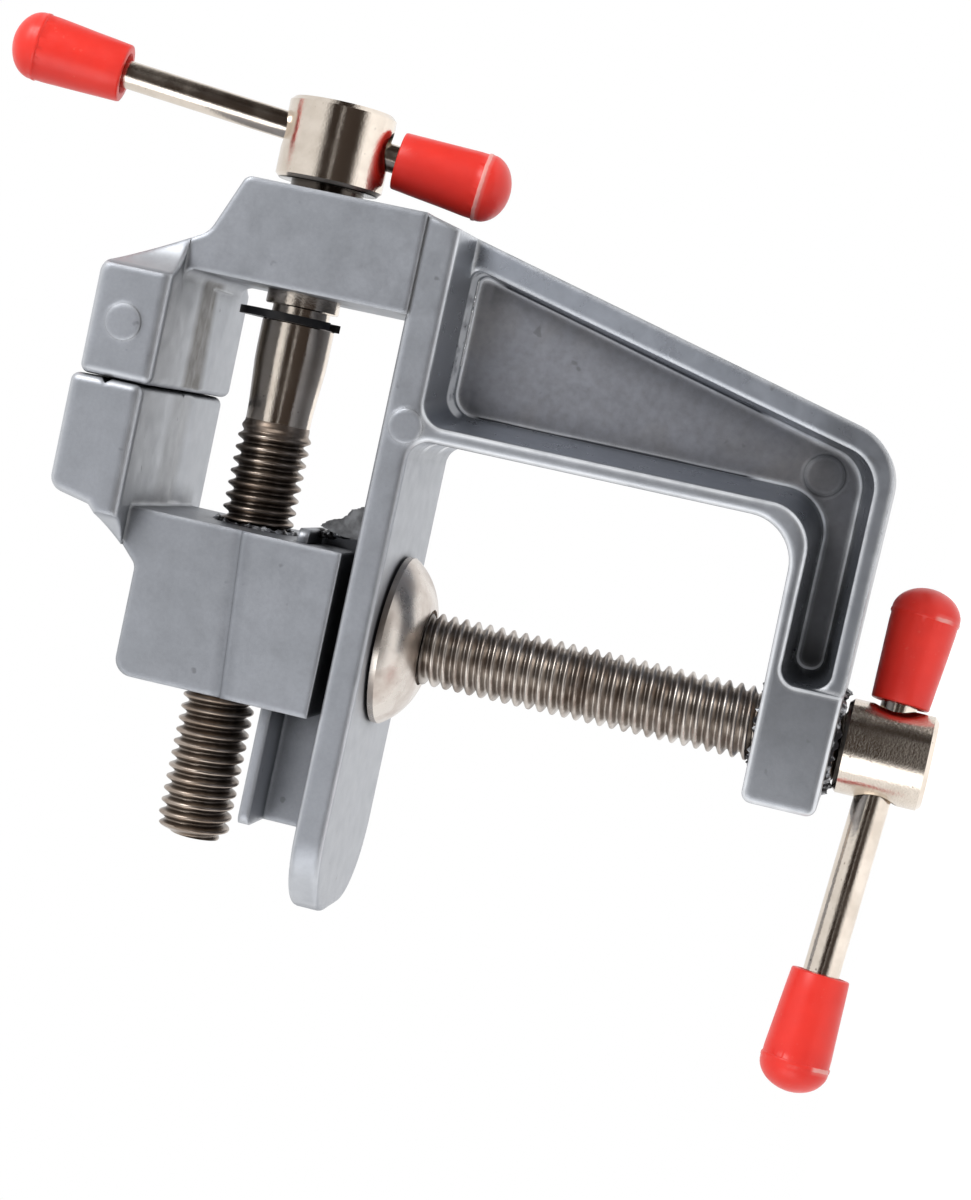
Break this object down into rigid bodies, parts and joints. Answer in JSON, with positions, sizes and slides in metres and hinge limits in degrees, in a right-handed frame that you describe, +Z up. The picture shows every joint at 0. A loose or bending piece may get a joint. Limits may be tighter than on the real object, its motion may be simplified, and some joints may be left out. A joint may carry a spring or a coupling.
{
  "type": "clamp-on table vise",
  "caption": "Small clamp-on table vise: cast C-frame with a fixed jaw, a sliding jaw on a T-rail, a jaw screw, and a clamp screw with a pressed pad, each turned by a capped sliding bar.",
  "frame": {"origin": "on the table seat (the underside of the plate), where the clamp screw's axis meets it", "axes": "+X along the jaw screw towards its handle, +Z up from the table towards the jaws, +Y across the jaws"},
  "size_m": [0.0896, 0.0302, 0.1068],
  "materials": {
    "casting": "die cast, tumbled, satin",
    "screw_steel": "rolled thread, dull nickel plate",
    "bright_nickel": "turned, bright nickel plate",
    "clip_black": "black oxide spring steel",
    "cap_red": "dipped soft vinyl, half gloss"
  },
  "bodies": {
    "body": {"vise_body": "casting"},
    "jaw": {"moving_jaw": "casting"},
    "jaw_spindle": {"jaw_screw": "screw_steel", "jaw_screw_hub": "bright_nickel", "jaw_screw_clip": "clip_black"},
    "jaw_handle": {"jaw_handle_bar": "bright_nickel", "jaw_handle_cap_upper": "cap_red", "jaw_handle_cap_lower": "cap_red"},
    "pad": {"clamp_pad": "bright_nickel"},
    "clamp_spindle": {"clamp_screw": "screw_steel", "clamp_screw_hub": "bright_nickel"},
    "clamp_handle": {"clamp_handle_bar": "bright_nickel", "clamp_handle_cap_front": "cap_red", "clamp_handle_cap_back": "cap_red"}
  },
  "joints": [
    {"name": "jaw_screw_turn", "type": "hinge", "parent": "body", "child": "jaw_spindle", "pos_m": [0, 0, 0.0162], "axis": [1, 0, 0], "range_deg": [0, 7200]},
    {"name": "moving_jaw_slide", "type": "slide", "parent": "body", "child": "jaw", "axis": [-1, 0, 0], "range_m": [0, 0.02505]},
    {"name": "jaw_handle_slide", "type": "slide", "parent": "jaw_spindle", "child": "jaw_handle", "axis": [-0.0941, 0.1386, -0.9859], "range_m": [-0.0006, 0.0168]},
    {"name": "clamp_pad_slide", "type": "slide", "parent": "body", "child": "pad", "axis": [0, 0, -1], "range_m": [0, 0.0338]},
    {"name": "clamp_screw_turn", "type": "hinge", "parent": "pad", "child": "clamp_spindle", "pos_m": [0, 0, 0], "axis": [0, 0, -1], "range_deg": [0, 9720]},
    {"name": "clamp_handle_slide", "type": "slide", "parent": "clamp_spindle", "child": "clamp_handle", "axis": [0.9885, 0.1389, -0.0593], "range_m": [-0.0001, 0.0176]}
  ],
  "couplings": [
    {"joint": "moving_jaw_slide", "follows": "jaw_screw_turn", "m_per_rad": 0.00019894},
    {"joint": "clamp_pad_slide", "follows": "clamp_screw_turn", "m_per_rad": 0.00019894}
  ]
}
